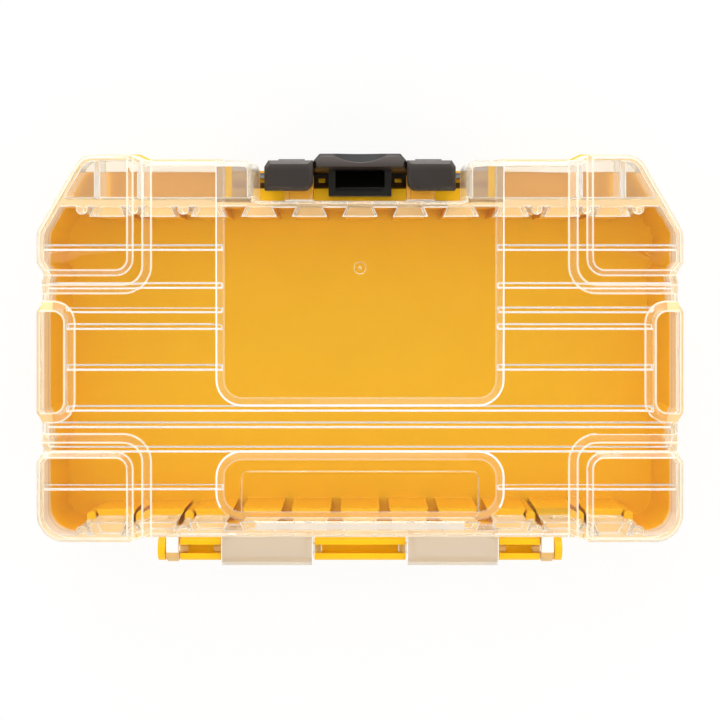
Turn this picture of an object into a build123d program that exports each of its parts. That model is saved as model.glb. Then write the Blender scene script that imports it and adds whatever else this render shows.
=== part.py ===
from build123d import *
import os
from math import cos, hypot, radians, tan

# Bit storage case: a moulded tray, a clear hinged lid and a latch that swings on the tray's axle bar.
# Millimetres. X runs along the hinge, +Y points to the latch, +Z up. The case lies flat and closed.
# The origin is the middle of the closed case's box, on the surface it lies on.

# Outline, seen from above at the parting line
case_width = 210.0  # over the corner bumpers of the tray's rim
body_depth = 127.0  # rim of the rear bumpers to rim of the front bumpers
rim_proud = 0.5  # how far the tray's rim stands out past the lid
side_relief = 1.5  # how far the bumpers and pads stand out past the side walls
front_relief = 1.7  # the same past the front wall
rear_relief = 1.3  # the same past the rear wall
corner_across = 31.2  # corner bumper, along X
corner_front = 35.9  # front corner bumper, along Y
corner_rear = 26.9  # rear corner bumper, along Y
corner_slope = 3.5  # length of the slanted step at a bumper's end
chamfer_across = 14.6  # slanted front corners
chamfer_along = 25.4
chamfer_round = 7.5
rear_round = 10.0
notch_depth = 0.7  # small dip in the side walls beside each bumper
notch_front = 2.4  # length of the slant out of the dip
notch_rear = 1.6
side_pad_length = 32.8
side_pad_end = 2.4  # length of the slanted step at a side pad's end
block_round = 4.0
step_round = 1.2
least_round = 0.4

# Heights
base_height = 27.0
rim_height = 2.8
floor_thick = 2.6
foot_recess = 0.8
foot_band = 7.0
foot_round = 8.0
foot_bevel = 1.05
foot_bevel_height = 1.5
lid_gap = 0.25
lid_low_height = 18.75  # parting gap to the plain top of the lid
pad_rise = 1.8
terrace_rise = 0.6
panel_rise = 0.9
edge_bevel = 1.0

# Walls and draft
base_wall = 2.0
base_draft = 0.5
rim_wall = 1.7  # outline to the well at the parting line
lid_wall = 1.8
lid_draft = 1.0
lid_top_thick = 1.8
inner_wall = 2.4

# Latch side
apron_depth = 13.1  # front wall back to the face that the latch closes on
block_gap_half = 33.2  # half the gap between the lid's two blocks
cheek_half = 42.4  # half the gap between the tray's two blocks
cheek_wall = 2.5
shelf_depth = 3.45
recess_floor_depth = 11.4
recess_floor_thick = 2.0
pocket_rib_in = 19.5  # rib across each pocket, from the side wall
pocket_rib_thick = 0.9
lip_width = 3.9  # thick lower edge of the lid's front wall, over each pocket
lip_height = 3.2
lip_in = 1.6  # its end, from the pocket's end
block_ribs_in = (18.6, 32.4)  # upright ribs in the lid's blocks, from the side wall
block_rib_thick = 1.4

# Teeth and pegs that hold the bars
tooth_pitch = 16.24
tooth_count = 11
tooth_root = 6.7
tooth_flare = 0.44  # growth on each side for each unit of length
tooth_front_length = 3.3
tooth_rear_reach = 5.6  # the tray's rear teeth, past the lid's wall
tooth_rear_length = 3.7  # the lid's rear teeth
tooth_end_gap = 0.6
peg_width = 3.1
peg_length = 2.6
peg_tray_length = 4.9  # the tray's rear pegs, past the lid's wall
peg_row = (3.5, 4.5, 5.5)

# Lid top
corner_pad_slope = 2.4
corner_pad_across = 30.1
corner_pad_front = 38.0
corner_pad_rear = 28.1
terrace_gap = 2.3
terrace_slope = 2.7
pad_corner_round = 3.8
side_pad_across = 10.0
side_pad_slope = 3.0
panel_half = 46.0
panel_slope = 2.4
panel_round = 5.8
centre_panel_low = -13.9
lower_panel_top = -28.7
lower_panel_in = 6.9  # its lower edge, from the rear wall
label_bar_half = 33.6
label_bar_in = 3.3  # its lower edge, from the rear wall
label_bar_width = 2.7
label_bar_rise = 0.5
gate_mark_in = 37.3  # round moulding mark on the centre panel, from the front bumpers
gate_mark_round = 1.9
gate_mark_depth = 0.3
gate_nib_round = 0.45
thin_patch_half = 38.0  # slightly thinner patch under the lower panel
thin_patch_top = -35.2
thin_patch_depth = 0.3
thin_patch_round = 2.0
wall_slot_count = 3  # slots on each side of the middle, in the foot of the inner wall
wall_slot_length = 9.2
wall_slot_height = 1.2
wall_slot_depth = 0.9
rib_width = 1.5
rib_depth = 1.1
side_rib_rows = (36.7, 24.5, 16.65, 11.3, -1.8, -40.2)
full_rib_rows = (-15.0, -20.3, -28.1)
side_rib_start = 44.0

# Hinge
hinge_out = 3.9  # axis behind the rear bumpers' rim
hood_back = 4.9  # rear face of the hoods behind the axis
hood_low_round = 4.75
hood_rise = 6.0
hood_wall = 2.5
hood_roof = 1.7
hood_bevel = 1.4
ear_round = 4.4
ear_slope = 2.0
barrel_round = 4.0
barrel_top = 2.6
web_drop = 6.0
pin_round = 1.55
pin_clearance = 0.05
pin_length = 2.4
end_pin_length = 1.2
mouth_bite = 0.3  # how much narrower than a pin the mouth of a barrel is
side_gap = 0.4
hood_start = 15.5
hood_length = 30.2
barrel_length = 13.5
ear_length = 4.0
flange_length = 2.5

# Latch and its axle
axle_in = 8.0  # axis behind the front bumpers' rim
axle_height = 12.0
axle_round = 1.5
axle_clearance = 0.05
axle_root_growth = 1.1
axle_root_length = 2.0
clip_wall = 1.2
clip_gap = 7.6  # clip's end to the tray's block
clip_bite = 0.6  # how much narrower than the bar the mouth of the clip is
wing_gap = 2.0  # wing to the lid's block
wing_split = 0.1  # grip to wing
wing_back = 4.6
wing_front = 5.3
wing_rise = 12.25  # top of the wings over the lid's lower edge
wing_thick = 3.6
wing_bevel = 1.3
wing_notch = 2.1
wing_round = 3.0
wing_lip_in = 4.6  # small raised strip on each wing's front, from the wing's outer side
wing_lip_length = 8.6
wing_lip_height = 2.4
wing_lip_proud = 0.4
latch_round = 0.6
latch_round_small = 0.4
plate_inner = 2.3
plate_low = 2.6
plate_foot = 0.8
plate_foot_height = 4.6
grip_half = 15.2
grip_front = 7.6
grip_rise = 10.75  # top of the grip over the lid's lower edge
grip_shoulder = 2.0
grip_bevel = 1.6
grip_lean = 1.0
grip_foot = 3.9
grip_foot_height = 8.6
scoop_round = 24.0
scoop_depth = 1.3
well_half = 10.3
well_back = 6.3
well_shelf_gap = 0.9  # well's floor over the tray's shelf
well_rise = 7.75  # top of the well over the lid's lower edge
well_wall = 2.2
well_floor = 1.6
well_drop = 9.0  # how much deeper the well is at the grip
well_step = 3.0  # level part of its floor, over the shelf
tab_width = 9.5
tab_front = 0.6
tab_thick = 2.2
tab_gap = 0.35
gusset_height = 4.0
gusset_back = 1.0
slot_length = 2.3
slot_width = 1.5
overlap = 1.0  # how far solids that become one reach into each other

# Places worked out from the sizes above
overall_depth = body_depth + hinge_out + hood_back
front_bumper = overall_depth / 2 - rim_proud
rear_bumper = overall_depth / 2 - body_depth + rim_proud
front_wall = front_bumper - front_relief
rear_wall = rear_bumper + rear_relief
side_bumper = case_width / 2 - rim_proud
side_wall = side_bumper - side_relief
recess_face = front_wall - apron_depth
cavity_front = recess_face - inner_wall
hinge_y = rear_bumper - rim_proud - hinge_out
lid_low = base_height + lid_gap
lid_top = lid_low + lid_low_height
cap_low = lid_top - edge_bevel
panel_top = lid_top + panel_rise
pad_top = lid_top + pad_rise
axle_y = overall_depth / 2 - axle_in
pocket_start = cheek_half + cheek_wall
hood_span = (hood_start, hood_start + hood_length)
barrel_span = (hood_span[1] + side_gap, hood_span[1] + side_gap + barrel_length)
ear_span = (barrel_span[1] + side_gap, barrel_span[1] + side_gap + ear_length)
flange_span = (ear_span[1] + side_gap, ear_span[1] + side_gap + flange_length)
mouth_width = 2 * pin_round - mouth_bite
clip_round = axle_round + axle_clearance + clip_wall
clip_half = cheek_half - clip_gap
clip_mouth = 2 * axle_round - clip_bite
wing_span = (grip_half + wing_split, block_gap_half - wing_gap)
wing_height = lid_low + wing_rise - axle_height  # this and the next three are over the axle
grip_height = lid_low + grip_rise - axle_height
well_low = base_height + well_shelf_gap - axle_height
well_high = lid_low + well_rise - axle_height
tab_span = (grip_half, grip_half + tab_width)
big = case_width + overall_depth


def case_corners(gap_half=None, gap_face=None):
    """Corners of the outline at the parting line, clockwise, each with its rounding.

    With a gap, the front wall steps back between the two blocks beside the latch.
    """
    bumper_start = side_bumper - corner_across
    front_end = front_bumper - corner_front
    rear_end = rear_bumper + corner_rear
    pad_half = side_pad_length / 2
    gap = [(gap_half, gap_face, step_round), (gap_half, front_wall, block_round)] if gap_half else []
    right = gap + [
        (bumper_start - corner_slope, front_wall, step_round),
        (bumper_start, front_bumper, step_round),
        (side_bumper - chamfer_across, front_bumper, chamfer_round),
        (side_bumper, front_bumper - chamfer_along, chamfer_round),
        (side_bumper, front_end, step_round),
        (side_wall - notch_depth, front_end - corner_slope, step_round),
        (side_wall, front_end - corner_slope - notch_front, step_round),
        (side_wall, pad_half + side_pad_end, step_round),
        (side_bumper, pad_half, step_round),
        (side_bumper, -pad_half, step_round),
        (side_wall, -pad_half - side_pad_end, step_round),
        (side_wall, rear_end + corner_slope + notch_rear, step_round),
        (side_wall - notch_depth, rear_end + corner_slope, step_round),
        (side_bumper, rear_end, step_round),
        (side_bumper, rear_bumper, rear_round),
        (bumper_start, rear_bumper, step_round),
        (bumper_start - corner_slope, rear_wall, step_round),
    ]
    return right + [(-x, y, r) for x, y, r in reversed(right)]


def grown(corners, amount):
    """The same clockwise outline with every side moved outwards, its roundings kept concentric."""
    moved = []
    for i, (x, y, r) in enumerate(corners):
        before = corners[i - 1]
        after = corners[(i + 1) % len(corners)]
        d0 = (x - before[0], y - before[1])
        d1 = (after[0] - x, after[1] - y)
        l0 = hypot(*d0)
        l1 = hypot(*d1)
        n0 = (-d0[1] / l0, d0[0] / l0)
        n1 = (-d1[1] / l1, d1[0] / l1)
        share = amount / (1 + n0[0] * n1[0] + n0[1] * n1[1])
        convex = d0[0] * d1[1] - d0[1] * d1[0] < 0
        radius = max(r + amount if convex else r - amount, least_round)
        moved.append((x + share * (n0[0] + n1[0]), y + share * (n0[1] + n1[1]), radius))
    return moved


def outline(corners, z):
    """Face inside rounded corners, at height z. A rounding takes at most 0.48 of each side that it meets."""
    edges = []
    ends = []
    for i, (x, y, r) in enumerate(corners):
        here = Vector(x, y)
        before = Vector(*corners[i - 1][:2]) - here
        after = Vector(*corners[(i + 1) % len(corners)][:2]) - here
        half_turn = radians(180 - before.get_angle(after)) / 2
        length = min(r * tan(half_turn), 0.48 * before.length, 0.48 * after.length)
        start = here + before.normalized() * length
        end = here + after.normalized() * length
        inward = (before.normalized() + after.normalized()).normalized()
        middle = here + inward * (length / tan(half_turn)) * (1 / cos(half_turn) - 1)
        edges.append(ThreePointArc(start, middle, end))
        ends.append((start, end))
    for i, (start, end) in enumerate(ends):
        edges.append(Line(ends[i - 1][1], start))
    return Pos(0, 0, z) * make_face(Wire(edges))


def drafted(corners, low, high, grow_low, grow_high):
    """Solid between two heights whose walls lean from one offset of an outline to another."""
    foot = outline(grown(corners, grow_low), low)
    head = outline(grown(corners, grow_high), high)
    return loft([foot, head], ruled=True)


def block(x0, x1, y0, y1, z0, z1):
    """Box between opposite corners."""
    return Pos((x0 + x1) / 2, (y0 + y1) / 2, (z0 + z1) / 2) * Box(x1 - x0, y1 - y0, z1 - z0)


def rod(x0, x1, y, z, radius):
    """Round bar along X."""
    return Pos((x0 + x1) / 2, y, z) * Rot(0, 90, 0) * Cylinder(radius, x1 - x0)


def both_sides(shape):
    """The shape and its mirror image across the middle."""
    return shape + mirror(shape, Plane.YZ)


def sloped_pad(x0, x1, y0, y1, low, high, slope, rounding):
    """Raised rectangle with sloping sides and rounded corners, largest at its foot."""
    foot = [(x, y, rounding + slope) for x, y in ((x0, y1), (x1, y1), (x1, y0), (x0, y0))]
    return drafted(foot, low, high, 0, -slope)


def side_profile(points, x0, x1):
    """Plate along X from a closed outline of (y, z) points."""
    face = make_face(Polyline(*[(0, y, z) for y, z in points], close=True))
    return extrude(Pos(x0, 0, 0) * face, x1 - x0, dir=(1, 0, 0))


# Teeth and pegs on the two long walls, shared by the tray and the lid

def tooth(x, y_wall, y_end, low, high):
    """One dovetail tooth, narrow at the wall and wide at its free end."""
    reach = abs(y_end - y_wall)
    root = tooth_root / 2
    end = root + tooth_flare * reach
    face = make_face(Polyline((-root, y_wall), (root, y_wall), (end, y_end), (-end, y_end), close=True))
    return Pos(x, 0, low) * extrude(face, high - low)


def peg(x, y_wall, y_end, low, high):
    """Half-round post that stands on a wall between two teeth."""
    radius = peg_width / 2
    centre = y_end - radius if y_end > y_wall else y_end + radius
    stem = block(x - radius, x + radius, min(y_wall, centre), max(y_wall, centre), low, high)
    return stem + Pos(x, centre, (low + high) / 2) * Cylinder(radius, high - low)


def wall_teeth(y_wall, y_end, peg_end, low, high):
    """The row of teeth on one long wall, with the pegs in its outer gaps."""
    middle = (tooth_count - 1) / 2
    row = [tooth((i - middle) * tooth_pitch, y_wall, y_end, low, high) for i in range(tooth_count)]
    for place in peg_row:
        for side in (-1, 1):
            row.append(peg(side * place * tooth_pitch, y_wall, peg_end, low, high))
    return row


# Tray

def tray_body():
    """Outer form of the tray: leaning walls, bevelled foot, rim and the shelf in the latch recess."""
    walls = case_corners(cheek_half, recess_face)
    rim = case_corners(cheek_half, recess_face + shelf_depth)
    rim_low = base_height - rim_height
    body = drafted(walls, 0, foot_bevel_height, -base_draft * 2 - foot_bevel, -base_draft * 2)
    body += drafted(walls, foot_bevel_height, rim_low, -base_draft * 2, -base_draft)
    body += extrude(outline(grown(rim, rim_proud), rim_low), rim_height)
    half = cheek_half + overlap
    front = recess_face + recess_floor_depth
    return body + block(-half, half, recess_face - overlap, front, 0, recess_floor_thick)


def tray_space():
    """Room inside the tray: the main well and the two front pockets, each with a rib across."""
    whole = case_corners()
    top = base_height - tooth_end_gap
    room = drafted(whole, floor_thick, base_height + overlap, -base_wall - base_draft * 2, -rim_wall)
    main = room & block(-big, big, -big, cavity_front, 0, big)
    ends = (cavity_front - tooth_front_length, cavity_front - peg_length)
    for solid in wall_teeth(cavity_front + overlap, *ends, 0, top):
        main -= solid
    inner_rear = rear_wall + lid_wall
    for solid in wall_teeth(rear_wall, inner_rear + tooth_rear_reach, inner_rear + peg_tray_length, 0, top):
        main -= solid
    pocket = room & block(pocket_start, big, recess_face, big, 0, big)
    rib = side_wall - pocket_rib_in
    pocket -= block(rib - pocket_rib_thick / 2, rib + pocket_rib_thick / 2, 0, big, 0, top)
    return main + both_sides(pocket)


def foot_space():
    """Shallow recess under the floor that leaves a band to stand on."""
    x = side_wall - foot_band
    y0 = rear_wall + foot_band
    y1 = cavity_front
    corners = [(-x, y1, foot_round), (x, y1, foot_round), (x, y0, foot_round), (-x, y0, foot_round)]
    return extrude(outline(corners, -overlap), foot_recess + overlap)


def axle_bar():
    """Bar between the two blocks that the latch turns on, thicker at its roots."""
    bar = rod(-pocket_start, pocket_start, axle_y, axle_height, axle_round)
    root_start = cheek_half - axle_root_length
    return bar + both_sides(rod(root_start, pocket_start, axle_y, axle_height, axle_round + axle_root_growth))


def knuckle(x0, x1):
    """Solid round of the tray's hinge row, with the web that carries it."""
    low = base_height - barrel_round
    back = rear_wall + base_wall / 2
    web = [(hinge_y, low), (back, low - web_drop), (back, base_height), (hinge_y, base_height)]
    return rod(x0, x1, hinge_y, base_height, barrel_round) + side_profile(web, x0, x1)


def barrel(x0, x1):
    """Open-topped hinge barrel that the lid's stub pins snap down into."""
    half = mouth_width / 2
    solid = knuckle(x0, x1)
    solid -= block(x0 - overlap, x1 + overlap, -big, big, base_height + barrel_top, big)
    solid -= rod(x0 - overlap, x1 + overlap, hinge_y, base_height, pin_round + pin_clearance)
    return solid - block(x0 - overlap, x1 + overlap, hinge_y - half, hinge_y + half, base_height, big)


def flange(x0, x1):
    """End plate of the hinge row, with a blind hole that takes the ear's outer pin."""
    hole_end = x0 + end_pin_length + side_gap
    return knuckle(x0, x1) - rod(x0 - overlap, hole_end, hinge_y, base_height, pin_round + pin_clearance)


def base_tray():
    tray = tray_body() - tray_space() - foot_space()
    tray += axle_bar()
    tray += barrel(-hood_span[0] + side_gap, hood_span[0] - side_gap)
    tray += both_sides(barrel(*barrel_span))
    tray += both_sides(flange(*flange_span))
    return tray


# Lid

def raised(x0, x1, y0, y1, rise, slope, rounding):
    """Raised area of the lid's top, carried down far enough to close the bevel beside it."""
    pad = sloped_pad(x0, x1, y0, y1, lid_top, lid_top + rise, slope, rounding)
    return pad + block(x0, x1, y0, y1, cap_low, lid_top)


def lid_pads():
    """Raised corner bumpers and side pads, before they are cut to the outline."""
    inner = side_bumper - corner_pad_across - corner_pad_slope
    front = front_bumper - corner_pad_front - corner_pad_slope
    rear = rear_bumper + corner_pad_rear + corner_pad_slope
    pads = raised(inner, big, front, big, pad_rise, corner_pad_slope, pad_corner_round)
    pads += raised(inner, big, -big, rear, pad_rise, corner_pad_slope, pad_corner_round)
    half = side_pad_length / 2 + side_pad_slope
    side = side_bumper - side_pad_across - side_pad_slope
    return both_sides(pads + raised(side, big, -half, half, pad_rise, side_pad_slope, pad_corner_round))


def lid_terraces():
    """Low step that runs round the inner side of each corner bumper."""
    out = corner_pad_slope + terrace_gap + terrace_slope
    inner = side_bumper - corner_pad_across - out
    front = front_bumper - corner_pad_front - out
    rear = rear_bumper + corner_pad_rear + out
    rounding = pad_corner_round + corner_pad_slope
    step = raised(inner, big, front, big, terrace_rise, terrace_slope, rounding)
    return both_sides(step + raised(inner, big, -big, rear, terrace_rise, terrace_slope, rounding))


def lid_cap(top):
    """Top layer of the lid up to one height, with a bevelled edge. It stands on the leaning walls."""
    corners = case_corners(block_gap_half, recess_face)
    bevel = drafted(corners, top - edge_bevel, top, -lid_draft, -lid_draft - edge_bevel)
    if top == lid_top:
        return bevel
    return drafted(corners, cap_low, top - edge_bevel, -lid_draft, -lid_draft) + bevel


def gate_mark():
    """Round mark that the moulding gate leaves: a shallow ring-shaped recess with a nib in its middle."""
    ring = Cylinder(gate_mark_round, gate_mark_depth * 2) - Cylinder(gate_nib_round, gate_mark_depth * 2)
    return Pos(0, front_bumper - gate_mark_in, panel_top) * ring


def lid_body():
    """Lid without its room: walls, cap, the raised bumpers, steps and panels, and the bar near the hinge."""
    half = panel_half
    centre = raised(-half, half, centre_panel_low, big, panel_rise, panel_slope, panel_round)
    low = rear_wall + lower_panel_in
    lower = sloped_pad(-half, half, low, lower_panel_top, lid_top, panel_top, panel_slope, panel_round)
    low = rear_wall + label_bar_in
    half = label_bar_half
    bar = block(-half, half, low, low + label_bar_width, lid_top, lid_top + label_bar_rise)
    corners = case_corners(block_gap_half, recess_face)
    body = drafted(corners, lid_low, cap_low, 0, -lid_draft) + lid_cap(lid_top)
    body += lid_cap(panel_top) & centre
    body += lid_cap(pad_top) & (lid_pads() + lid_terraces())
    return body + lower + bar - gate_mark()


def thin_patch():
    """Slightly thinner patch of the lid's top, hollowed from below under the lower panel."""
    half = thin_patch_half
    low = rear_wall + lid_wall + tooth_rear_reach
    places = ((-half, thin_patch_top), (half, thin_patch_top), (half, low), (-half, low))
    corners = [(x, y, thin_patch_round) for x, y in places]
    ceiling = lid_top - lid_top_thick
    return extrude(outline(corners, ceiling - rib_depth), rib_depth + thin_patch_depth)


def wall_slots():
    """Short slots in the foot of the inner wall, between the teeth, on the latch's side."""
    slots = []
    half = wall_slot_length / 2
    low = recess_face - wall_slot_depth
    high = recess_face + overlap
    for i in range(wall_slot_count):
        x = (i + 0.5) * tooth_pitch
        slots.append(both_sides(block(x - half, x + half, low, high, 0, lid_low + wall_slot_height)))
    return slots


def lid_space():
    """Room inside the lid, less the inner wall, the teeth, the pegs, the ribs and the lip."""
    corners = case_corners(block_gap_half, recess_face)
    ceiling = lid_top - lid_top_thick
    rib_low = ceiling - rib_depth
    room = drafted(corners, lid_low - overlap, ceiling, -lid_wall, -lid_wall - lid_draft)
    room -= block(-big, big, cavity_front, recess_face, 0, big)
    tooth_low = lid_low + tooth_end_gap
    ends = (cavity_front - tooth_front_length, cavity_front - peg_length)
    for solid in wall_teeth(cavity_front + overlap, *ends, tooth_low, big):
        room -= solid
    inner_rear = rear_wall + lid_wall
    ends = (inner_rear + tooth_rear_length, inner_rear + peg_length)
    for solid in wall_teeth(rear_wall, *ends, tooth_low, big):
        room -= solid
    for y in side_rib_rows + full_rib_rows:
        start = side_rib_start if y in side_rib_rows else -overlap
        beside_pad = abs(y) < side_pad_length / 2 + side_pad_slope
        end = side_bumper - side_pad_across if beside_pad else big
        room -= both_sides(block(start, end, y - rib_width / 2, y + rib_width / 2, rib_low, big))
    for inset in block_ribs_in:
        rib = side_wall - inset
        half = block_rib_thick / 2
        room -= both_sides(block(rib - half, rib + half, recess_face, big, tooth_low, big))
    lip = block(pocket_start + lip_in, big, front_wall - lip_width, big, 0, lid_low + lip_height)
    return room - both_sides(lip)


def stub_pin(x0, x1):
    """Pin of the lid that turns in the end of a barrel."""
    return rod(x0, x1, hinge_y, base_height, pin_round)


def hood(x0, x1):
    """Clear hinge block with a hollow from below and a stub pin at each end."""
    y0 = hinge_y - hood_back
    y1 = rear_wall + lid_wall / 2
    top = base_height + hood_rise
    shape = [(y0, base_height), (y0, top - hood_bevel), (y0 + hood_bevel, top), (y1, top), (y1, lid_low)]
    shape.append((hinge_y, lid_low - overlap))
    solid = side_profile(shape, x0, x1) + rod(x0, x1, hinge_y, base_height, hood_low_round)
    solid -= block(x0 + hood_wall, x1 - hood_wall, y0 + hood_wall, rear_wall, 0, top - hood_roof)
    solid += stub_pin(x0 - side_gap - pin_length, x0 + overlap)
    return solid + stub_pin(x1 - overlap, x1 + side_gap + pin_length)


def ear(x0, x1):
    """Narrow clear knuckle with a stub pin on both sides."""
    y1 = rear_wall + lid_wall / 2
    top = base_height + hood_rise - hood_bevel
    y0 = hinge_y - ear_round
    shape = [(y0, base_height), (y0 + ear_slope, top), (y1, top), (y1, lid_low), (hinge_y, lid_low - overlap)]
    solid = side_profile(shape, x0, x1) + rod(x0, x1, hinge_y, base_height, ear_round)
    solid += stub_pin(x0 - side_gap - pin_length, x0 + overlap)
    return solid + stub_pin(x1 - overlap, x1 + side_gap + end_pin_length)


def catch_tab():
    """Flat tab of the lid that the latch's wing closes over, with two gussets below."""
    top = axle_height + wing_height - wing_thick - tab_gap
    under = top - tab_thick
    y0 = recess_face - overlap
    y1 = axle_y + tab_front
    tab = block(tab_span[0], tab_span[1], y0, y1, under, top)
    foot = under - gusset_height
    gusset = [(y0, under), (y1 - gusset_back, under), (recess_face, foot), (y0, foot)]
    for x in (tab_span[0], tab_span[1] - rib_width):
        tab += side_profile(gusset, x, x + rib_width)
    return tab


def lid():
    shell = lid_body() - lid_space() - thin_patch()
    for slot in wall_slots():
        shell -= slot
    shell += both_sides(hood(*hood_span))
    shell += both_sides(ear(*ear_span))
    shell += both_sides(catch_tab())
    return shell


# Latch, drawn about its axle and moved into place at the end

def clip():
    """Tube that snaps round the axle bar, open below, with slots that show the bar from above."""
    tube = rod(-clip_half, clip_half, 0, 0, clip_round)
    tube += block(-wing_span[1], wing_span[1], 0, wing_front - latch_round, -plate_low, clip_round)
    tube -= rod(-big, big, 0, 0, axle_round + axle_clearance)
    tube -= block(-big, big, -clip_mouth / 2, clip_mouth / 2, -big, 0)
    for x in (clip_half, wing_span[0] - slot_length / 2):
        tube -= both_sides(block(x - slot_length, x, -slot_width / 2, slot_width / 2, 0, big))
    return tube


def wing():
    """One wing: front plate, its small strip, and the top plate that closes over the lid's tab."""
    x0, x1 = wing_span
    top = wing_height
    edge = top - wing_bevel
    corners = [
        (x0, wing_front, latch_round),
        (x1 - wing_bevel, wing_front, latch_round_small),
        (x1, wing_front - wing_notch, latch_round_small),
        (x1, -wing_back, latch_round),
        (x0, -wing_back, wing_round),
    ]
    roof = extrude(outline(corners, top - wing_thick), wing_thick - wing_bevel)
    roof += drafted(corners, edge, top, 0, -wing_bevel)
    foot = plate_foot_height - plate_low
    plate = [(plate_inner, -plate_low), (wing_front - plate_foot, -plate_low), (wing_front, foot)]
    plate += [(wing_front, edge), (plate_inner, edge)]
    end = x1 - wing_lip_in
    front = wing_front + wing_lip_proud
    strip = block(end - wing_lip_length, end, plate_inner, front, edge - wing_lip_height, edge)
    return roof + side_profile(plate, x0, x1 - wing_bevel) + strip


def grip():
    """Middle of the latch: thick plate with slanted shoulders, bevelled top edge and a thumb scoop."""
    half = grip_half
    corners = [
        (-half + grip_shoulder, grip_front, latch_round),
        (half - grip_shoulder, grip_front, latch_round),
        (half, wing_front, latch_round),
        (half, plate_inner, latch_round_small),
        (-half, plate_inner, latch_round_small),
        (-half, wing_front, latch_round),
    ]
    plate = extrude(outline(corners, -plate_low), plate_low + grip_height - grip_bevel)
    plate += drafted(corners, grip_height - grip_bevel, grip_height, 0, -grip_lean)
    outside = grip_front + overlap
    low = -plate_low - overlap
    under = [(outside, low), (outside, grip_foot_height - plate_low - overlap), (grip_front - grip_foot, low)]
    plate -= side_profile(under, -big, big)
    edge = Pos(0, grip_front - grip_lean / 2, grip_height - grip_bevel / 2) * Rot(-45, 0, 0)
    return plate - edge * Pos(0, 0, scoop_round - scoop_depth) * Rot(90, 0, 0) * Cylinder(scoop_round, big)


def finger_well():
    """Open-topped well behind the grip for a fingertip: shallow over the tray's shelf, deep at the grip."""
    front = plate_inner + overlap
    low = well_low - well_drop
    form = [(-well_back, well_low), (well_step - well_back, well_low), (plate_inner, low), (front, low)]
    form += [(front, well_high), (-well_back, well_high)]
    back = -well_back + well_floor
    room = [(back, well_low + well_floor), (well_step - well_back, well_low + well_floor)]
    room += [(plate_inner, low + well_floor), (plate_inner, well_high + overlap), (back, well_high + overlap)]
    solid = side_profile(form, -well_half, well_half)
    return solid - side_profile(room, -well_half + well_wall, well_half - well_wall)


def latch():
    body = clip() + both_sides(wing()) + grip() + finger_well()
    return Pos(0, axle_y, axle_height) * body


if __name__ == "__main__":
    os.makedirs("parts", exist_ok=True)
    for name, shape in (("base_tray", base_tray()), ("lid", lid()), ("latch", latch())):
        export_step(shape, f"parts/{name}.step")
        print(name, len(shape.solids()), round(shape.volume), shape.bounding_box())
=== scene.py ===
from math import pi, radians, sin

import bmesh
import bpy
import numpy as np
from mathutils.bvhtree import BVHTree
from mathutils.kdtree import KDTree
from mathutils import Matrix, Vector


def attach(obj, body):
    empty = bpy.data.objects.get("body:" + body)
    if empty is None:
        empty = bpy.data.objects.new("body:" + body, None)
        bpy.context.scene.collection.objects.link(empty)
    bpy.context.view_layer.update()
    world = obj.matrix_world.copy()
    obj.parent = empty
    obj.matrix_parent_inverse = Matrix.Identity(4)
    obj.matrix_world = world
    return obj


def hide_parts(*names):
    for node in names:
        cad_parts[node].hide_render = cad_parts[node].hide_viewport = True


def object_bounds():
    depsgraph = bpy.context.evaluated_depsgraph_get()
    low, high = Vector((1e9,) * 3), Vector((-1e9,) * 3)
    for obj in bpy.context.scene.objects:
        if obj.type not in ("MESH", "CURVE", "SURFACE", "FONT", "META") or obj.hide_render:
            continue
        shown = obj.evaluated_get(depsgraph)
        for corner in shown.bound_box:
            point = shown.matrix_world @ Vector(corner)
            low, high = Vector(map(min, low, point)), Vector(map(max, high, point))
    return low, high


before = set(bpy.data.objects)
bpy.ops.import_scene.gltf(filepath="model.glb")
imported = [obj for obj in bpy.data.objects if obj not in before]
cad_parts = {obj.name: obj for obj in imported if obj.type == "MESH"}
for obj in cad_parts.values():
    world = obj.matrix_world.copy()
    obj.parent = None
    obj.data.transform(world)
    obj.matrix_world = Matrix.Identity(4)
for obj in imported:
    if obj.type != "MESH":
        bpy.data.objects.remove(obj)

# Bit storage case seen from straight above: yellow tray, clear lid, black latch.
# Metres, in the frame's own axes: +X along the hinge, +Y towards the latch, +Z up.

MM = 0.001
cad_box = [list(corner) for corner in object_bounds()]

# Camera, from the shift between upper and lower edges in the photograph
CAMERA_HEIGHT = 539 * MM
CAMERA_Y = 30.4 * MM
LENS = 76.9
SHIFT_UP = -0.129

# Rounding of edges: the least bevel worth making, the distances at which corners are merged and at which things
# touch, the smallest angle that counts as an edge, the angle from which shading breaks at an edge, and the cosine
# from which two directions are the same
LEAST_BEVEL = 0.05 * MM
MERGED = 0.001 * MM
TOUCHING = 0.01 * MM
SHALLOW = radians(9)
CREASE = radians(32)
SAME = 0.9999

# Darkest and lightest tone of the tray and of the latch, then the latch's painted tones: a painted sheen on the
# grip's top, and painted shade in its thumb scoop and in its finger well
TRAY_YELLOWS = (0.92, 0.515, 0.007, 1), (0.95, 0.545, 0.010, 1)
LATCH_BLACKS = (0.020, 0.0140, 0.0110, 1), (0.027, 0.0190, 0.0150, 1)
GRIP_TOP_SHEEN = (0.110, 0.090, 0.082, 1)
SCOOP_SHADE = (0.006, 0.005, 0.005, 1)
WELL_SHADE = (0.009, 0.0085, 0.0062, 1)

# The lid's clear plastic, and how much of a lamp's light goes through it
CLEAR = (0.985, 0.975, 0.95, 1)
LET_THROUGH = (0.95, 0.94, 0.92, 1)
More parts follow.
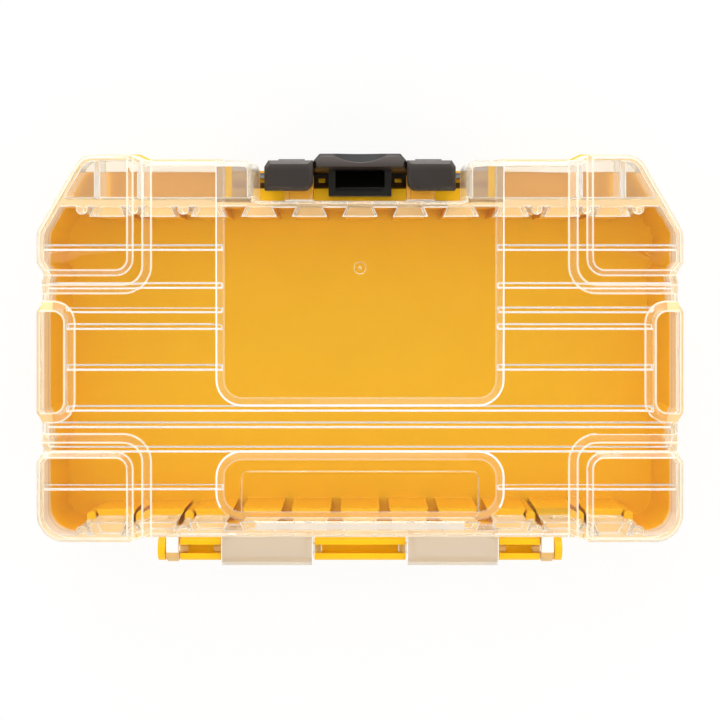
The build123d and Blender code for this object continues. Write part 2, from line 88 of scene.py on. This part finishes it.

# Colours painted on the lid's milky faces, from white to dark: white and cream are painted highlights where clear
# plastic catches and pipes light, the warm tones paint the yellow tray seen through it, the dark ones painted
# shade
WHITE = (0.98, 0.97, 0.95, 1)
CREAM = (0.97, 0.89, 0.74, 1)
APRICOT = (0.97, 0.84, 0.60, 1)
BEIGE = (0.95, 0.77, 0.52, 1)
BAR = (0.75, 0.68, 0.58, 1)
PALE = (0.74, 0.67, 0.56, 1)
HONEY = (0.93, 0.62, 0.26, 1)
TAN = (0.97, 0.56, 0.22, 1)
YELLOW = (0.80, 0.50, 0.12, 1)
AMBER = (0.78, 0.47, 0.14, 1)
TAB_ORANGE_SHADE = (0.80, 0.36, 0.03, 1)
GREY = (0.55, 0.53, 0.52, 1)
HOOD = (0.58, 0.45, 0.31, 1)
DUSK = (0.41, 0.325, 0.26, 1)
SHADED = (0.26, 0.21, 0.16, 1)


class Value:
    """A node's output in one material. Arithmetic on it adds Math nodes."""

    def __init__(self, tree, socket):
        self.tree = tree
        self.socket = socket

    def maths(self, operation, *terms):
        node = self.tree.nodes.new("ShaderNodeMath")
        node.operation = operation
        for entry, term in zip(node.inputs, terms):
            feed(self.tree, entry, term)
        return Value(self.tree, node.outputs[0])

    def __add__(self, other):
        return self.maths("ADD", self, other)

    def __radd__(self, other):
        return self.maths("ADD", other, self)

    def __sub__(self, other):
        return self.maths("SUBTRACT", self, other)

    def __rsub__(self, other):
        return self.maths("SUBTRACT", other, self)

    def __mul__(self, other):
        return self.maths("MULTIPLY", self, other)

    def __rmul__(self, other):
        return self.maths("MULTIPLY", other, self)

    def __abs__(self):
        return self.maths("ABSOLUTE", self)

    def largest(self, other):
        return self.maths("MAXIMUM", self, other)


def feed(tree, entry, term):
    """Sets a socket to a number or colour, or links it to a Value."""
    if isinstance(term, Value):
        tree.links.new(term.socket, entry)
    else:
        entry.default_value = term


class Tree:
    """The nodes of a material or of the world."""

    def __init__(self, owner):
        owner.use_nodes = True
        self.tree = owner.node_tree
        self.tree.nodes.clear()

    def node(self, kind, sockets=None, out=0, **settings):
        """Adds a node and gives the output asked for. Settings are set first, then sockets by name or number."""
        node = self.tree.nodes.new(kind)
        for name, value in settings.items():
            setattr(node, name, value)
        for name, term in (sockets or {}).items():
            feed(self.tree, node.inputs[name], term)
        return Value(self.tree, node.outputs[out])

    def step(self, value, low, high):
        """0 below low, 1 above high, smooth between them."""
        return self.node(
            "ShaderNodeMapRange",
            {"Value": value, "From Min": low, "From Max": high},
            interpolation_type="SMOOTHSTEP",
        )

    def inside(self, value, low, high, soft):
        """1 between low and high, 0 outside, with soft edges."""
        return self.step(value, low - soft, low + soft) * (1 - self.step(value, high - soft, high + soft))

    def finish(self, kind, shader):
        """Links a shader to an output node of this kind."""
        out = self.tree.nodes.new(kind)
        self.tree.links.new(shader.socket, out.inputs["Surface"])


class Material(Tree):
    """One material, in its object's own coordinates."""

    def __init__(self, name):
        self.material = bpy.data.materials.new(name)
        super().__init__(self.material)
        self.place = self.node("ShaderNodeTexCoord", out="Object")

    def axes(self):
        """Distance from the case's middle plane, then y and z."""
        x, y, z = (self.node("ShaderNodeSeparateXYZ", {"Vector": self.place}, out=axis) for axis in "XYZ")
        return abs(x), y, z

    def noise(self, scale, detail=2.0, rough=0.5):
        return self.node(
            "ShaderNodeTexNoise",
            {"Vector": self.place, "Scale": scale, "Detail": detail, "Roughness": rough},
        )

    def colour_mix(self, factor, first, second):
        """From the first colour to the second as factor goes from 0 to 1."""
        return self.node("ShaderNodeMix", {0: factor, 6: first, 7: second}, out=2, data_type="RGBA")

    def written(self, name, out="Fac"):
        """A value or colour that the mesh holds under this name."""
        return self.node("ShaderNodeAttribute", attribute_name=name, out=out)

    def shader_mix(self, factor, first, second):
        return self.node("ShaderNodeMixShader", {0: factor, 1: first, 2: second})

    def bump(self, height, depth, strength=1.0):
        sockets = {"Height": height, "Distance": depth, "Strength": strength}
        return self.node("ShaderNodeBump", sockets, out="Normal")

    def made_of(self, shader):
        self.finish("ShaderNodeOutputMaterial", shader)
        return self.material


def tray_plastic():
    """Warm yellow moulded plastic, satin, with a fine mould grain and faint flow marks."""
    f = Material("tray_plastic")
    mottled = f.noise(60.0, 3.0)
    grain = f.noise(2600.0, 2.0)
    shader = f.node(
        "ShaderNodeBsdfPrincipled",
        {
            "Base Color": f.colour_mix(mottled, *TRAY_YELLOWS),
            "Roughness": 0.36 + mottled * 0.10,
            "Normal": f.bump(grain, 0.02 * MM),
            "IOR": 1.45,
            "Specular IOR Level": 0.25,
        },
    )
    return f.made_of(shader)


def latch_plastic():
    """Black moulded plastic with a fine satin grain, duller in its thumb scoop and smoother round the finger well.
    The grip's top has a painted sheen where it catches the light, and the scoop and the well are painted darker
    with shade."""
    f = Material("latch_plastic")
    grain = f.noise(3000.0, 2.0)
    mottled = f.noise(120.0, 3.0)
    side, y, z = f.axes()
    # Painted shade in the finger well, which is also smoother
    well = (1 - f.step(side, 10.2 * MM, 10.6 * MM)) * (1 - f.step(y, 62.1 * MM, 62.4 * MM))
    # Painted sheen on the top of the grip, where it catches the light
    top = f.step(y, 61.5 * MM, 67.5 * MM) * f.step(z, 37.7 * MM, 37.95 * MM)
    # Painted shade in the thumb scoop, which is also duller
    scoop = f.inside(y, 64.0 * MM, 67.4 * MM, 0.05 * MM) * f.inside(z, 34.6 * MM, 37.8 * MM, 0.08 * MM)
    scoop = scoop * (1 - f.step(side, 8.5 * MM, 8.7 * MM))
    black = f.colour_mix(mottled, *LATCH_BLACKS)
    for where, colour in ((top, GRIP_TOP_SHEEN), (scoop, SCOOP_SHADE), (well, WELL_SHADE)):
        black = f.colour_mix(where, black, colour)
    shader = f.node(
        "ShaderNodeBsdfPrincipled",
        {
            "Base Color": black,
            "Roughness": 0.34 + mottled * 0.1 + scoop * 0.3 - well * 0.2,
            "Normal": f.bump(grain, 0.02 * MM),
            "Specular IOR Level": 0.55,
        },
    )
    return f.made_of(shader)


def lid_plastic():
    """Clear moulded plastic, made milky where its mesh says so: along edges, on upright walls, on the blocks'
    roofs. The milky finish paints in the light and shade that clear plastic shows: white where it catches light,
    warm or dark where the shaded yellow tray shows through.

    Some faces span several tones, so those are told apart here, by place. The roofs of the boxes beside the latch
    are greyer with painted shade, with a painted strip of yellow for tray plastic seen through them, and the other
    roofs are clear past the tray's front wall. The walls' feet are painted beige for the tray's yellow seen
    through them, with a painted grey line of shade over them, and the rear ends of the hinge ears are painted
    amber for the yellow tray seen through them. Light from a lamp passes straight through clear and milky plastic
    alike.
    """
    f = Material("lid_plastic")
    ripple = f.noise(35.0, 2.0)
    side, y, z = f.axes()
    roof = f.written("roof")
    wall = f.written("wall")
    # Painted shade on the boxes' roofs beside the latch, greyer, with a painted yellow strip for tray plastic seen
    # through
    box = roof * (1 - f.step(side, 45.9 * MM, 46.1 * MM))
    strip = f.inside(side, 41.1 * MM, 43.2 * MM, 0.25 * MM)
    past_wall = f.step(y, 60.6 * MM, 61.0 * MM)
    # How much painted light each face shows: none on the roofs past the tray's front wall, more on the boxes'
    # roofs for their painted shade
    painted_light_share = f.written("painted_light_share") * (1 - (roof - box) * past_wall) + box * 0.3
    # Painted beige at the walls' feet, for the tray's yellow light seen up through them
    foot = (1 - f.step(z, 30.5 * MM, 32.0 * MM)) * wall
    # Painted grey line of shade over the walls' feet
    line = f.inside(z, 32.0 * MM, 33.5 * MM, 0.5 * MM) * wall
    # Painted amber at the rear ends of the hinge ears, for the yellow tray seen through them
    ear_end = (1 - f.step(y, -64.0 * MM, -63.6 * MM)) * f.step(side, 59.4 * MM, 59.7 * MM)
    tone = f.colour_mix(line, f.written("painted_light_and_shade", "Color"), GREY)
    tone = f.colour_mix(box, tone, f.colour_mix(strip, DUSK, YELLOW))
    tone = f.colour_mix(ear_end, tone, AMBER)
    clear = f.node(
        "ShaderNodeBsdfPrincipled",
        {
            "Base Color": CLEAR,
            "Roughness": 0.015 + 0.01 * ripple,
            "IOR": 1.5,
            "Transmission Weight": 1.0,
            "Normal": f.bump(ripple, 0.4 * MM, 0.15),
        },
    )
    # A milky white finish that paints in light: highlights at edges and walls, and the tray's yellow and shade
    # seen through
    painted_light_shader = f.node(
        "ShaderNodeBsdfPrincipled",
        {
            "Base Color": f.colour_mix(foot, tone, BEIGE),
            "Roughness": 0.45,
        },
    )
    lamps = f.node("ShaderNodeLightPath", out="Is Shadow Ray")
    passing = f.node("ShaderNodeBsdfTransparent", {"Color": LET_THROUGH})
    return f.made_of(f.shader_mix(lamps, f.shader_mix(painted_light_share, clear, painted_light_shader), passing))


def room_beside(loop):
    """Widest bevel that one face lets an edge take, from the lengths and angles of the edges beside it.

    An edge that nearly folds back leaves no room. One that turns off limits the bevel by its length across it, and
    one that runs nearly straight on by how much a bevel round the bend shortens both.
    """
    room = 1.0
    for near, corner in ((loop.link_loop_prev, loop), (loop.link_loop_next, loop.link_loop_next)):
        shared = corner.vert
        along = loop.edge.other_vert(shared).co - shared.co
        away = near.edge.other_vert(shared).co - shared.co
        angle = along.angle(away, 0)
        if angle < radians(15):
            return 0.0
        if angle < radians(140):
            room = min(room, 0.45 * away.length * sin(angle))
        elif corner.is_convex:
            room = min(room, 0.7 * min(along.length, away.length) / max(pi - angle, 0.01))
    return room


def room_across(face):
    """Widest bevel for each edge of a face that still leaves room for bevels on the edges that it faces.

    A corner at distance d from an edge, of which a is straight inwards, leaves d * d / a: nearly half for each.
    """
    start = np.array([loop.vert.co for loop in face.loops])
    count = len(start)
    along = np.roll(start, -1, 0) - start
    length = np.linalg.norm(along, axis=1)
    inward = np.cross(np.array(face.normal), along / length[:, None])
    share = np.einsum("kjc,jc->kj", start[:, None] - start[None], along) / length**2
    foot = start[None] + np.clip(share, 0, 1)[..., None] * along[None]
    gap = start[:, None] - foot
    far = (gap**2).sum(2)
    room = np.full(count, 1.0)
    for j in range(count):
        others = [k for k in range(count) if k not in (j, (j + 1) % count)]
        apart = [k for k in others if k != (j - 1) % count]
        pairs = [(far[others, j], gap[others, j] @ inward[j])]
        pairs += [(far[k, apart], -gap[k, apart] @ inward[j]) for k in (j, (j + 1) % count)]
        for squared, ahead in pairs:
            facing = ahead > TOUCHING
            if facing.any():
                room[j] = min(room[j], 0.45 * (squared[facing] / ahead[facing]).min())
    return room


def top_step(edge):
    """True for the shallow edges of the lid's raised areas."""
    high = max(v.co.z for v in edge.verts) > 40 * MM
    return high and any(abs(face.normal.z) > SAME for face in edge.link_faces)


def scoop_edge(edge):
    """True for the edges of the latch's shallow scoop."""
    places = [vert.co / MM for vert in edge.verts]
    return all(abs(place.x) < 8.7 and place.y > 64 and place.z > 34.5 for place in places)


def flipped(mesh):
    """Corners of the triangles that turn against the face they are part of, where its outline crosses itself."""
    mesh.calc_loop_triangles()
    sliver = 0.02 * MM * MM
    corners = []
    for triangle in mesh.loop_triangles:
        turned = triangle.normal.dot(mesh.polygons[triangle.polygon_index].normal) < 0.5
        if turned and triangle.area > sliver:
            corners += [mesh.vertices[i].co.copy() for i in triangle.vertices]
    return corners


def strip_beside(loop):
    """A loop's edge as cut_strips wants it."""
    start = loop.vert.co.copy()
    end = loop.link_loop_next.vert.co.copy()
    normal = loop.face.normal.copy()
    return start, end, normal, normal.cross(end - start).normalized()


def cut_strips(mesh, strips, width):
    """Splits a strip off along each edge in the flat face beside it, and gives the strips material 1.

    A strip is its edge's start and end, the face's normal, and the direction from the edge into the face.
    """
    whole = bmesh.new()
    whole.from_mesh(mesh)
    for start, end, normal, inward in strips:
        along = end - start
        length = along.length
        along = along / length
        flat = [
            face
            for face in whole.faces
            if face.normal.dot(normal) > SAME and abs((face.verts[0].co - start).dot(normal)) < 2 * TOUCHING
        ]
        for place, direction in ((start + inward * width, inward), (start, along), (end, along)):
            beside = []
            for face in flat:
                deep = [(vert.co - start).dot(inward) for vert in face.verts]
                far = [(vert.co - start).dot(along) for vert in face.verts]
                if min(deep) < width and max(deep) > TOUCHING and min(far) < length and max(far) > 0:
                    beside.append(face)
            parts = {part for face in beside for part in (face, *face.edges, *face.verts)}
            made = bmesh.ops.bisect_plane(
                whole, geom=list(parts), plane_co=place, plane_no=direction, dist=MERGED
            )
            flat = [face for face in flat if face not in beside]
            flat += [part for part in made["geom"] if isinstance(part, bmesh.types.BMFace)]
        for face in flat:
            middle = face.calc_center_median() - start
            if 0 < middle.dot(inward) < width and 0 < middle.dot(along) < length:
                face.material_index = 1
    whole.to_mesh(mesh)
    whole.free()


def merged(mesh):
    """A mesh of loose triangles as one closed surface, with the triangles of each flat face joined."""
    whole = bmesh.new()
    whole.from_mesh(mesh)
    bmesh.ops.remove_doubles(whole, verts=whole.verts, dist=MERGED)
    bmesh.ops.dissolve_limit(whole, angle_limit=radians(0.4), verts=whole.verts, edges=whole.edges)
    whole.normal_update()
    return whole


def share_out(whole, width, sharp, shallow, crisp):
    """Writes each edge's share of the bevel's width, as its faces allow. Gives the edges that want a bevel."""
    share = whole.edges.layers.float.new("bevel_weight_edge")
    across = {}
    for face in whole.faces:
        if len(face.loops) > 4:
            across.update(zip(face.loops, room_across(face)))
    wanted = []
    for edge in whole.edges:
        angle = edge.calc_face_angle(0)
        if crisp and crisp(edge):
            edge.smooth = angle < SHALLOW
        elif angle > sharp or (shallow and angle > SHALLOW and shallow(edge)):
            wanted.append(edge)
            room = min(min(room_beside(loop), across.get(loop, 1.0)) for loop in edge.link_loops)
            if room > LEAST_BEVEL:
                edge[share] = min(1.0, room / width)
    return wanted


def find_faults(made, surface, off):
    """Places where a bevelled mesh lies further than off from the part's surface, folds over or crosses itself."""
    check = bmesh.new()
    check.from_mesh(made)
    places = [vert.co.copy() for vert in check.verts if surface.find_nearest(vert.co)[3] > off]
    for edge in check.edges:
        if edge.calc_face_angle(0) > radians(150):
            places += [vert.co.copy() for vert in edge.verts]
    check.free()
    return places + flipped(made)


def bevelled(ob, whole, width, segments):
    """The mesh of ob with its bevels made. Around faults the shares are halved, or dropped when that is no longer
    enough, and the bevels are made anew."""
    mesh = ob.data
    bevel = ob.modifiers.new("bevel", "BEVEL")
    bevel.width = width
    bevel.segments = segments
    bevel.limit_method = "WEIGHT"
    bevel.use_clamp_overlap = False
    bevel.material = 1
    surface = BVHTree.FromBMesh(whole)
    corners = KDTree(len(whole.verts))
    for vert in whole.verts:
        corners.insert(vert.co, vert.index)
    corners.balance()
    whole.verts.ensure_lookup_table()
    round_depth = 0.3 * width if segments > 1 else 0
    off = 0.04 * MM + round_depth
    for turn in range(6):
        made = bpy.data.meshes.new_from_object(ob.evaluated_get(bpy.context.evaluated_depsgraph_get()))
        faults = find_faults(made, surface, off)
        near = set()
        for place in faults:
            near.update(i for _, i, _ in corners.find_n(place, 1) + corners.find_range(place, 1.5 * width))
        weights = mesh.attributes["bevel_weight_edge"].data
        for i in near:
            for edge in whole.verts[i].link_edges:
                weight = weights[edge.index].value
                keep = turn < 3 and weight * width > 2 * LEAST_BEVEL
                weights[edge.index].value = weight / 2 if keep else 0
        mesh.update_tag()
        if not faults:
            break
    return made


def rounded(node, width, segments, sharp, shallow=None, crisp=None):
    """A copy of a CAD part with its triangles merged and its edges bevelled, each as wide as its faces allow.

    Edges sharper than sharp get a bevel, and those for which crisp is true get none. Edges for which shallow is
    true get one from a small angle on, and flat strips then take the place of the bevels that have no room. Gives
    the new object, and for each of its faces whether it belongs to a bevel or a strip.
    """
    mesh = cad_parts[node].data.copy()
    mesh.materials.clear()
    for name in ("faces", "edges"):
        mesh.materials.append(bpy.data.materials.new(name))
    whole = merged(mesh)
    wanted = share_out(whole, width, sharp, shallow, crisp)
    whole.to_mesh(mesh)
    mesh.polygons.foreach_set("material_index", np.zeros(len(mesh.polygons), np.int32))
    ob = bpy.data.objects.new(node + "_rounded", mesh)
    bpy.context.scene.collection.objects.link(ob)
    made = bevelled(ob, whole, width, segments)
    if shallow:
        weights = mesh.attributes["bevel_weight_edge"].data
        strips = []
        for edge in wanted:
            long_enough = edge.calc_length() > (1 if shallow(edge) else 4) * width
            if long_enough and weights[edge.index].value < 0.8:
                strips += [strip_beside(loop) for loop in edge.link_loops]
        cut_strips(made, strips, width)
    whole.free()
    ob.modifiers.clear()
    ob.data = made
    on_edge = np.zeros(len(made.polygons), np.int32)
    made.polygons.foreach_get("material_index", on_edge)
    made.polygons.foreach_set("material_index", np.zeros(len(made.polygons), np.int32))
    made.materials.clear()
    return ob, on_edge == 1


def finish_part(node, ob, body, material):
    """Puts a rounded copy in the place of its CAD part, with shading that follows its largest faces."""
    ob.data.materials.append(material)
    ob.data.shade_smooth()
    crisp = [edge.index for edge in ob.data.edges if edge.use_edge_sharp]
    ob.data.set_sharp_from_angle(angle=CREASE)
    for i in crisp:
        ob.data.edges[i].use_edge_sharp = True
    even = ob.modifiers.new("even", "WEIGHTED_NORMAL")
    even.weight = 100
    even.keep_sharp = True
    ob.data = bpy.data.meshes.new_from_object(ob.evaluated_get(bpy.context.evaluated_depsgraph_get()))
    ob.modifiers.clear()
    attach(ob, body)
    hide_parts(node)


def between(values, low, high):
    """True for the values between low and high."""
    return (values > low) & (values < high)


def paint_lid_light(mesh, on_edge):
    """Writes how much painted light each face of the lid shows and in what colour, from its direction and its
    middle's
    place: a milky finish that paints the highlights clear plastic catches, and the shade and the yellow seen
    through it.

    It also marks the roofs and the inner walls, which lid_plastic tells apart further.
    """
    count = len(mesh.polygons)
    normal = np.zeros(count * 3)
    mesh.polygons.foreach_get("normal", normal)
    centre = np.zeros(count * 3)
    mesh.polygons.foreach_get("center", centre)
    across, along, up = normal.reshape(-1, 3).T
    x, y, z = (centre.reshape(-1, 3) / MM).T

    # Directions of faces
    outwards = across * x + along * y > 0
    upright = abs(up) < 0.35
    under = up < -0.9
    sloping = between(up, 0.2, 0.995) & (z > 45)

    # Zones of the lid in millimetres, the same on both sides of its middle
    x = abs(x)
    slanted_corner = 0.867 * x + 0.498 * y > 107
    rim = (x > 99) | (y < -55) | (y > 61) | slanted_corner
    beside_pad = (x > 99) & (abs(y) < 18)
    corner = (z > 45.9) & (x > 62)
    panel = (z > 45.9) & (x < 46.2)
    upper_panel = panel & (z > 46.6) & (y < 51)
    brow = (z > 44.5) & (x < 46) & (y > 49.5)
    bar = (up > 0.9) & between(z, 46.3, 46.6) & (y < -50)
    thin_patch = (x < 39) & between(y, -50.6, -34.5) & (z < 44.8)
    gate = (x < 3) & (abs(y - 30.1) < 3)

    # The front blocks, their ribs and the front wall between them
    block = (y > 52.7) & (x > 34)
    roof = under & (z > 43) & block
    block_rib = block & ((abs(x - 84.4) < 0.9) | (abs(x - 70.6) < 0.9))
    block_side = upright & between(y, 50, 52.8) & (x > 34)
    latch_side = (z < 31) & (y > 61) & (x > 46)
    foot = (z < 28.2) & between(y, 49.8, 52.8)
    tooth_pitch = 16.24
    slot = (z < 28.9) & between(y, 51.6, 52.8) & (x < 46) & (abs(x % tooth_pitch - tooth_pitch / 2) < 4.7)
    tab = (y > 52.8) & (x < 25) & between(z, 29, 38)

    # The hinge row
    hinge = y < -57.7
    hood = hinge & (x < 45.9)
    pin = hinge & between(x, 45.9, 59.7)
    ear = hinge & between(x, 59.7, 64.2)

    # How much painted light and in what colour: white and cream paint highlights, warm tones the yellow tray seen
    # through, dark tones shade. A later rule holds over an earlier one.
    painted_light_share = np.full(count, 0.004)
    colour = np.tile(BEIGE, (count, 1))
    rules = (
        # Walls painted cream and white: painted light that the clear walls pipe up from below
        (upright, 0.25, CREAM),
        (upright & rim & outwards, 0.55, CREAM),
        (upright & rim & ~outwards, 0.6, WHITE),
        (upright & beside_pad & ~outwards, 0.6, BEIGE),
        (block_side, 0.45, CREAM),
        # Wall bottoms painted apricot: painted light piped down the clear walls, tinted by the tray
        (under & (z < 27.7), 0.75, APRICOT),
        (under & between(z, 27.7, 28.2), 0.45, APRICOT),
        # Roofs painted tan: the shaded yellow tray seen through them, painted
        (roof, 0.5, TAN),
        # Ribs and the lip beside the latch painted white: painted reflections of the light
        (block_rib & upright, 0.5, WHITE),
        (block_rib & under & (z < 28.2), 0.95, WHITE),
        (latch_side, 0.97, WHITE),
        # Slopes painted beige and honey: the tray's yellow seen through them, painted
        (sloping, 0.1, BEIGE),
        (sloping & rim, 0.55, BEIGE),
        (sloping & beside_pad, 0.85, HONEY),
        (bar, 0.85, BAR),
        (hinge, 0.06, CREAM),
        # Hood painted in shade, its rear paler: the shade under the hood seen through it, painted
        (hood & (up > 0.9) & (z > 32), 0.85, HOOD),
        (hood & (y < -66), 0.75, PALE),
        # Edges painted white and cream: painted highlights where clear plastic catches the light
        (on_edge, 0.92, WHITE),
        (on_edge & corner, 0.72, CREAM),
        (on_edge & upper_panel, 0.25, CREAM),
        (on_edge & panel & (y < -47), 0.2, CREAM),
        (on_edge & thin_patch, 0.12, CREAM),
        (on_edge & gate, 0.4, CREAM),
        (on_edge & foot, 0.7, APRICOT),
        ((on_edge | sloping) & brow, 0.12, CREAM),
        (slot & (on_edge | under), 0.7, SHADED),
        # Hinge pins painted amber, for the yellow tray seen through them
        (pin, 0.6, AMBER),
        (ear, 0.85, WHITE),
        # Tabs painted a shaded orange, for the tray seen through them in shade
        (tab, 0.35, TAB_ORANGE_SHADE),
    )
    for where, how_much, what in rules:
        painted_light_share[where] = how_much
        colour[where] = what
    entries = (
        ("painted_light_share", "FLOAT", "value", painted_light_share),
        ("roof", "FLOAT", "value", roof),
        ("wall", "FLOAT", "value", upright & rim & ~outwards),
        ("painted_light_and_shade", "FLOAT_COLOR", "color", colour),
    )
    for name, kind, field, values in entries:
        entry = mesh.attributes.new(name, kind, "FACE")
        entry.data.foreach_set(field, values.astype(np.float32).ravel())


def floor():
    """Pale floor that the camera sees as white, with a soft shadow of the case left on it."""
    half = 1.5
    whiteness = 0.85
    low = cad_box[0][2] - 0.2 * MM
    mesh = bpy.data.meshes.new("floor")
    corners = [(-half, -half, low), (half, -half, low), (half, half, low), (-half, half, low)]
    mesh.from_pydata(corners, [], [(0, 1, 2, 3)])
    ob = bpy.data.objects.new("floor", mesh)
    bpy.context.scene.collection.objects.link(ob)
    f = Material("floor")
    seen = f.node("ShaderNodeLightPath", out="Is Camera Ray")
    for ray in ("Is Glossy Ray", "Is Transmission Ray"):
        seen = seen.largest(f.node("ShaderNodeLightPath", out=ray))
    matt = f.node("ShaderNodeBsdfDiffuse", {"Color": (0.9, 0.9, 0.9, 1)})
    white = f.node("ShaderNodeEmission", {"Color": (1, 1, 1, 1), "Strength": 1.0})
    mesh.materials.append(f.made_of(f.shader_mix(seen * whiteness, matt, white)))


def studio():
    """Soft surround and eight soft lamps that point at the case.

    The surround is darker straight above, so that flat plastic keeps its colour, and white where the camera sees
    it. The card only shows in reflections. The lamps at the sides and on top don't show in them, and only the key,
    front, fill and back lamps show through the clear lid.
    """
    around, darker_above = 0.78, 0.60
    world = bpy.data.worlds.new("studio")
    bpy.context.scene.world = world
    sky = Tree(world)
    direction = sky.node("ShaderNodeTexCoord", out="Generated")
    high = sky.node("ShaderNodeSeparateXYZ", {"Vector": direction}, out="Z")
    above = sky.step(high, 0.70, 0.93)
    seen = sky.node("ShaderNodeLightPath", out="Is Camera Ray")
    strength = (around - darker_above * above) * (1 - seen) + seen
    surround = sky.node("ShaderNodeBackground", {"Color": (1, 1, 1, 1), "Strength": strength})
    sky.finish("ShaderNodeOutputWorld", surround)

    # Name, place, size in metres and power in watts
    lamps = (
        ("key", (-0.25, 0.6, 0.85), 0.6, 1.4),
        ("front", (-0.05, 0.95, 0.22), 0.6, 5.0),
        ("fill", (0.3, -0.6, 0.75), 0.7, 1.8),
        ("back", (0.05, -0.95, 0.3), 0.6, 0.8),
        ("left", (-0.9, 0.0, 0.5), 0.5, 1.7),
        ("right", (0.9, 0.0, 0.5), 0.5, 1.7),
        ("top", (0.0, 0.06, 1.2), 0.25, 2.3),
        ("card", (0.0, 0.8, 0.6), 0.8, 6.0),
    )
    for name, place, size, power in lamps:
        lamp = bpy.data.lights.new(name, "AREA")
        lamp.shape = "SQUARE"
        lamp.size = size
        lamp.energy = power
        ob = bpy.data.objects.new(name, lamp)
        ob.location = place
        to_case = -ob.location.normalized()
        ob.rotation_euler = to_case.to_track_quat("-Z", "Y").to_euler()
        ob.visible_glossy = name not in ("left", "right", "top")
        ob.visible_transmission = name in ("key", "front", "fill", "back")
        ob.visible_diffuse = name != "card"
        bpy.context.scene.collection.objects.link(ob)


def camera():
    """Straight down over the case, nearer its latch side, with the frame shifted back over the case."""
    cam = bpy.data.cameras.new("camera")
    cam.lens = LENS
    cam.sensor_width = 36
    cam.shift_y = SHIFT_UP
    cam.clip_start = 0.01
    ob = bpy.data.objects.new("camera", cam)
    ob.location = (0, CAMERA_Y, CAMERA_HEIGHT)
    bpy.context.scene.collection.objects.link(ob)
    bpy.context.scene.camera = ob


# Each part's bevel: its width, its segments, and the angle from which an edge gets it
tray, _ = rounded("base_tray", 0.25 * MM, 3, radians(50))
finish_part("base_tray", tray, "tray", tray_plastic())
lid, lid_edges = rounded("lid", 0.32 * MM, 1, radians(60), shallow=top_step)
paint_lid_light(lid.data, lid_edges)
finish_part("lid", lid, "lid", lid_plastic())
latch, _ = rounded("latch", 0.3 * MM, 3, radians(35), crisp=scoop_edge)
finish_part("latch", latch, "latch", latch_plastic())
floor()
studio()
camera()
bpy.context.scene.view_settings.view_transform = "Standard"
